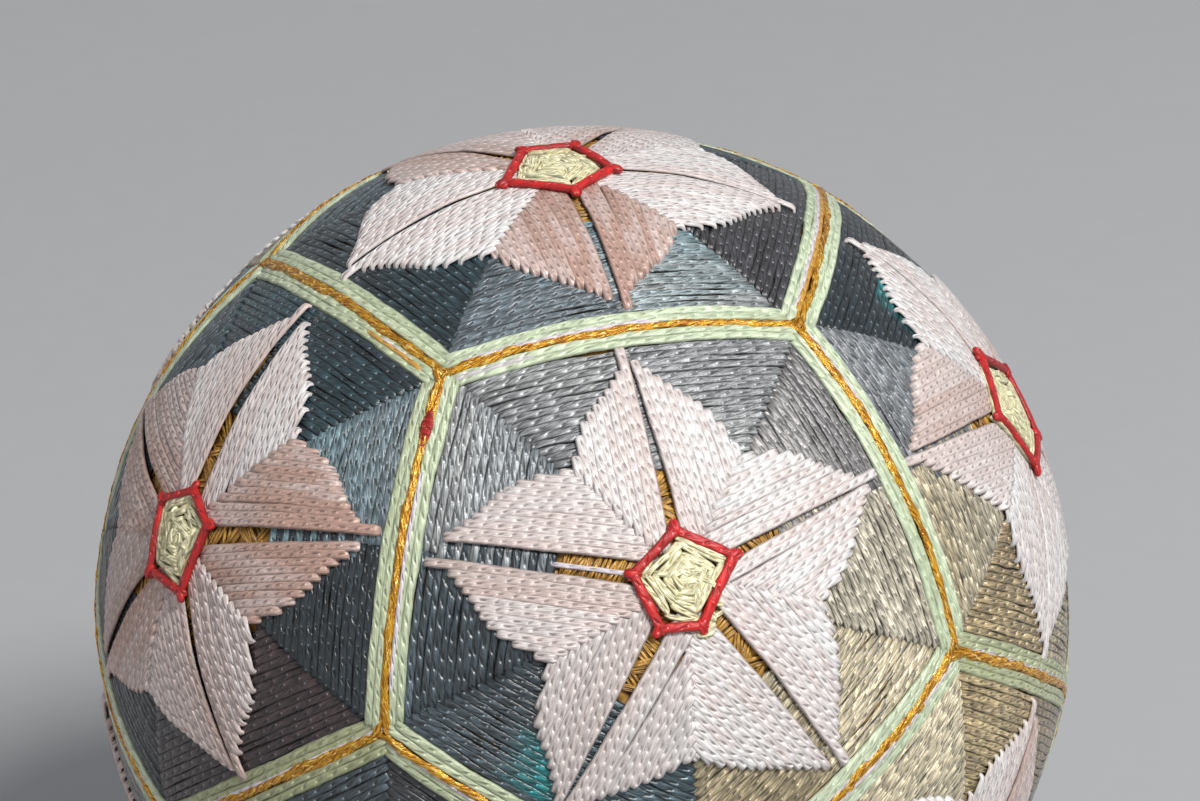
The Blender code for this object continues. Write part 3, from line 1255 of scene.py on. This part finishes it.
def thread_material(name, roughness, sheen, shade, gap_shade_depth, grain, period=FIELD_TWIST):
    """Loosely twisted two-ply thread: short dashes of painted shade where the plies part, a painted
    highlight on the crest beside each and painted light along each ply, painted shade along the edges
    where neighbouring threads meet, fine fibres that slant along the thread, and a soft shine. shade is
    the colour of the painted shade deep between the plies, as a share of the thread's own, grain the
    contrast of the fibres, and period the distance from dash to dash."""
    dash_length = 0.22 * MM / period
    steepness = period / (1.7 * MM)
    nodes = Nodes(name)
    across, _, even_turns = nodes.split(nodes.attribute("twist", "Vector"))
    slip = nodes.noise(nodes.join(nodes.times(even_turns, 0.55), 0.0, 0.0), 1.0, 1.0)
    turns = nodes.math("MULTIPLY_ADD", slip, 0.8, even_turns)
    from_dash = nodes.math("SUBTRACT", nodes.math("FRACT", turns), 0.5)
    shift = nodes.math("MULTIPLY_ADD", slip, 1.6, nodes.math("MULTIPLY_ADD", from_dash, steepness, -0.8))
    aside = nodes.math("ADD", shift, across)

    def spot(centre, half_width, half_length, softness):
        beside = nodes.math("ABSOLUTE", nodes.math("SUBTRACT", aside, centre * 0.6))
        past = nodes.math("ABSOLUTE", nodes.math("SUBTRACT", from_dash, centre))
        narrow = nodes.remap(beside, half_width * (1.0 - softness), half_width * (1.0 + softness), 1.0, 0.0)
        short = nodes.remap(past, half_length * (1.0 - softness), half_length * (1.0 + softness), 1.0, 0.0)
        return nodes.times(narrow, short)

    # Painted shade where the plies part.
    dash = spot(0.0, 0.11, dash_length, 0.45)
    hollow = spot(0.0, 0.26, 1.8 * dash_length, 0.8)
    # Painted highlight on the crest beside each dash.
    painted_crest_highlight = spot(1.7 * dash_length, 0.16, 0.35 * dash_length, 0.6)
    # Painted light along the swell of each ply.
    painted_ply_light = spot(0.26, 0.42, 0.19, 0.8)

    along = nodes.times(turns, period / MM)
    slant = nodes.math("MULTIPLY_ADD", along, 1.4, nodes.times(across, 3.2))
    fibre = nodes.noise(nodes.join(slant, nodes.times(along, 0.62), 0.0), 1.0, 3.0)
    patch = nodes.noise(nodes.join(nodes.times(along, 0.55), across, 3.0), 1.0, 2.0)

    colour = nodes.attribute("thread_colour", "Color")
    streaks = nodes.remap(fibre, 0.34, 0.66, 1.0 - grain, 1.0 + grain)
    tone = nodes.times(streaks, nodes.remap(patch, 0.3, 0.7, 1.0 - 0.4 * grain, 1.0 + 0.4 * grain))
    # Painted highlight: lighter on the crest beside each dash.
    tone = nodes.times(tone, nodes.math("MULTIPLY_ADD", painted_crest_highlight, 1.2 * grain + 0.45, 1.0))
    # Painted light: lighter along the swell of each ply, a little darker between.
    tone = nodes.times(tone, nodes.math("MULTIPLY_ADD", painted_ply_light, 0.9 * grain, 1.0 - 0.08 * grain))
    # Painted shade: darker in patches near the thread's edges, where it meets its neighbours.
    near_edge = nodes.remap(nodes.math("ABSOLUTE", across), 0.52, 0.78, 0.0, 1.0)
    apart = nodes.remap(nodes.noise(nodes.join(along, 0.0, 7.0), 0.4, 1.0), 0.42, 0.58, 0.25, 1.0)
    painted_edge_shade = nodes.times(near_edge, apart)
    tone = nodes.times(tone, nodes.math("MULTIPLY_ADD", painted_edge_shade, -1.6 * grain, 1.0))
    toned = nodes.mix(colour, nodes.join(tone, tone, tone), 1.0, "MULTIPLY")
    # Painted highlight: the crest beside each dash is also drawn towards pale grey.
    toned = nodes.mix(toned, (0.80, 0.80, 0.80, 1.0), nodes.times(painted_crest_highlight, 0.35))
    # Painted shade: the dashes where the plies part take the shade colour.
    deep = nodes.mix(colour, (*shade, 1.0), 1.0, "MULTIPLY")
    nodes.shade("Base Color", nodes.mix(toned, deep, nodes.times(dash, gap_shade_depth)))

    height = nodes.math("MULTIPLY_ADD", fibre, 0.45, nodes.times(hollow, -0.7))
    nodes.bump(height, 0.20 * MM)
    nodes.shade("Roughness", roughness)
    nodes.shade("Specular IOR Level", 0.7)
    nodes.shade("Sheen Weight", sheen)
    nodes.shade("Sheen Roughness", 0.4)
    return nodes.material


def gold_material():
    """Metallic foil wound round a core: an amber body with painted highlights where it crumples."""
    nodes = Nodes("gold_foil")
    across, rise, turns = nodes.split(nodes.attribute("twist", "Vector"))
    crumple = nodes.noise(nodes.join(nodes.times(turns, 0.9), across, rise), 1.4, 3.0)
    slant = nodes.math("MULTIPLY_ADD", turns, 2.6, nodes.times(across, 2.6))
    strands = nodes.noise(nodes.join(slant, nodes.times(turns, 0.5), 9.0), 1.3, 2.0)
    colour = nodes.attribute("thread_colour", "Color")
    amber = nodes.mix(colour, (0.30, 0.16, 0.04, 1.0), 1.0, "MULTIPLY")
    body = nodes.mix(amber, colour, nodes.remap(strands, 0.38, 0.62, 0.05, 0.85))
    # Painted highlight: bright patches mixed into the colour where the crumple noise is high.
    painted_glint = nodes.remap(crumple, 0.56, 0.64, 0.0, 1.0)
    nodes.shade("Base Color", nodes.mix(body, (1.0, 0.70, 0.20, 1.0), painted_glint))
    nodes.bump(nodes.math("MULTIPLY_ADD", strands, 0.7, nodes.times(crumple, 1.5)), 0.16 * MM)
    nodes.shade("Metallic", 0.35)
    nodes.shade("Roughness", 0.24)
    return nodes.material


def wrap_material():
    """Fine ochre thread wound in every direction."""
    nodes = Nodes("wound_wrap")
    geometry = nodes.tree.nodes.new("ShaderNodeTexCoord").outputs["Object"]
    strands = []
    for turn, scale in ((0.4, 1500.0), (1.9, 1350.0)):
        wave = nodes.tree.nodes.new("ShaderNodeTexWave")
        wave.inputs["Scale"].default_value = scale / math.tau
        wave.inputs["Distortion"].default_value = 3.0
        mapping = nodes.tree.nodes.new("ShaderNodeMapping")
        mapping.inputs["Rotation"].default_value = (turn, turn * 0.7, turn * 1.3)
        nodes.link(geometry, mapping.inputs["Vector"])
        nodes.link(mapping.outputs[0], wave.inputs["Vector"])
        strands.append(wave.outputs["Fac"])
    region = nodes.remap(nodes.noise(geometry, 160.0, 1.0), 0.45, 0.55, 0.0, 1.0)
    pattern = nodes.mix(strands[0], strands[1], region)
    tone = nodes.mix((*DYE["umber"] * 0.6, 1.0), (*DYE["ochre"], 1.0), pattern)
    nodes.shade("Base Color", tone)
    nodes.bump(pattern, 0.15 * MM)
    nodes.shade("Roughness", 0.6)
    return nodes.material


def floor_material():
    """Plain matt paper with the faintest grain."""
    nodes = Nodes("studio_paper")
    place = nodes.tree.nodes.new("ShaderNodeTexCoord").outputs["Object"]
    grain = nodes.noise(place, 220.0, 3.0)
    nodes.shade("Base Color", nodes.mix((0.45, 0.455, 0.465, 1.0), (0.47, 0.475, 0.485, 1.0), grain))
    nodes.shade("Roughness", 0.9)
    nodes.shade("Specular IOR Level", 0.2)
    return nodes.material


# Stage, light and camera -----------------------------------------------------------------------------


def make_floor():
    """A wide plain floor."""
    bpy.ops.mesh.primitive_circle_add(vertices=96, radius=6.0, fill_type="NGON", location=(0.0, 0.0, 0.0))
    floor = bpy.context.object
    floor.name = "studio_floor"
    floor.data.materials.append(floor_material())


def area_light(name, azimuth, elevation, distance, size, power, colour):
    """A round soft light that looks at the ball from this azimuth and elevation, in degrees."""
    turn, climb = math.radians(azimuth), math.radians(elevation)
    toward = Vector((math.sin(turn) * math.cos(climb), -math.cos(turn) * math.cos(climb), math.sin(climb)))
    light = bpy.data.lights.new(name, "AREA")
    light.shape = "DISK"
    light.size = size
    light.energy = power
    light.color = colour
    lamp = bpy.data.objects.new(name, light)
    lamp.location = Vector(CENTRE) + toward * distance
    lamp.rotation_mode = "QUATERNION"
    lamp.rotation_quaternion = (-toward).to_track_quat("-Z", "Y")
    bpy.context.scene.collection.objects.link(lamp)


def make_lights():
    """Window light from the right and above, a weaker fill from the left, and a pale room."""
    area_light("window", 27.0, 50.0, 1.3, 0.4, 16.0, (1.0, 0.99, 0.97))
    area_light("room_fill", -75.0, 5.0, 1.2, 0.8, 0.9, (1.0, 0.76, 0.66))
    world = bpy.data.worlds.new("studio")
    world.use_nodes = True
    background = world.node_tree.nodes["Background"]
    background.inputs["Color"].default_value = (0.44, 0.45, 0.47, 1.0)
    background.inputs["Strength"].default_value = 0.78
    bpy.context.scene.world = world
    bpy.context.scene.view_settings.view_transform = "Standard"


CAMERA_AZIMUTH = math.radians(-11.906)
CAMERA_ELEVATION = math.radians(24.970)
CAMERA_DISTANCE = 0.80193  # from the ball's centre
CAMERA_AIM = Vector((0.004611, 0.007883, 0.020040))  # from the ball's centre
CAMERA_ROLL = math.radians(-3.02)
CAMERA_LENS = 234.7


def make_camera():
    """A long lens from the front and above."""
    level = math.cos(CAMERA_ELEVATION)
    toward = Vector((
        math.sin(CAMERA_AZIMUTH) * level,
        -math.cos(CAMERA_AZIMUTH) * level,
        math.sin(CAMERA_ELEVATION),
    ))
    camera_data = bpy.data.cameras.new("camera")
    camera_data.lens = CAMERA_LENS
    camera_data.sensor_width = 36.0
    camera_data.clip_end = 50.0
    camera = bpy.data.objects.new("camera", camera_data)
    camera.location = Vector(CENTRE) + toward * CAMERA_DISTANCE
    aim = Vector(CENTRE) + CAMERA_AIM
    look = (aim - camera.location).to_track_quat("-Z", "Y").to_matrix()
    camera.rotation_mode = "QUATERNION"
    camera.rotation_quaternion = (look @ Matrix.Rotation(CAMERA_ROLL, 3, "Z")).to_quaternion()
    bpy.context.scene.collection.objects.link(camera)
    bpy.context.scene.camera = camera


# The whole ball --------------------------------------------------------------------------------------

FACE_GROUPS = (
    ("front", "top", "left", "right"),
    ("low_front_left", "low_front_right", "low_left", "low_right"),
    ("back_left", "back_right", "low_back", "bottom"),
)


def make_ball():
    """Every material and every piece of the ball."""
    faces = pentagons()
    # Each thread material's fourth value is the colour of the painted shade deep between its plies.
    field = thread_material("field_cotton", 0.34, 0.08, (0.12, 0.12, 0.14), 0.9, 0.52)
    petal = thread_material("petal_cotton", 0.38, 0.10, (0.33, 0.27, 0.26), 0.85, 0.17, PETAL_TWIST)
    band = thread_material("band_cotton", 0.38, 0.10, (0.50, 0.54, 0.36), 0.7, 0.20)
    red = thread_material("ring_cotton", 0.45, 0.0, (0.35, 0.20, 0.20), 0.8, 0.25)
    cream = thread_material("centre_cotton", 0.38, 0.05, (0.52, 0.42, 0.20), 0.8, 0.32, PETAL_TWIST)
    guide = thread_material("guide_cotton", 0.35, 0.10, (0.60, 0.55, 0.57), 0.5, 0.12)
    wrap = thread_material("wrap_cotton", 0.38, 0.0, (0.5, 0.45, 0.4), 0.3, 0.40)
    wound_core(wrap_material())
    wrap_strands(faces, wrap)
    for number, members in enumerate(FACE_GROUPS, start=1):
        stitch_field(faces, f"field_threads_{number}", members, field)
        stitch_petals(faces, f"petal_threads_{number}", members, petal)
    stitch_bands(faces, band)
    stitch_guides(faces, guide)
    stitch_gold(faces, gold_material())
    stitch_rings(faces, red)
    stitch_centres(faces, cream)


make_floor()
make_lights()
make_camera()
make_ball()
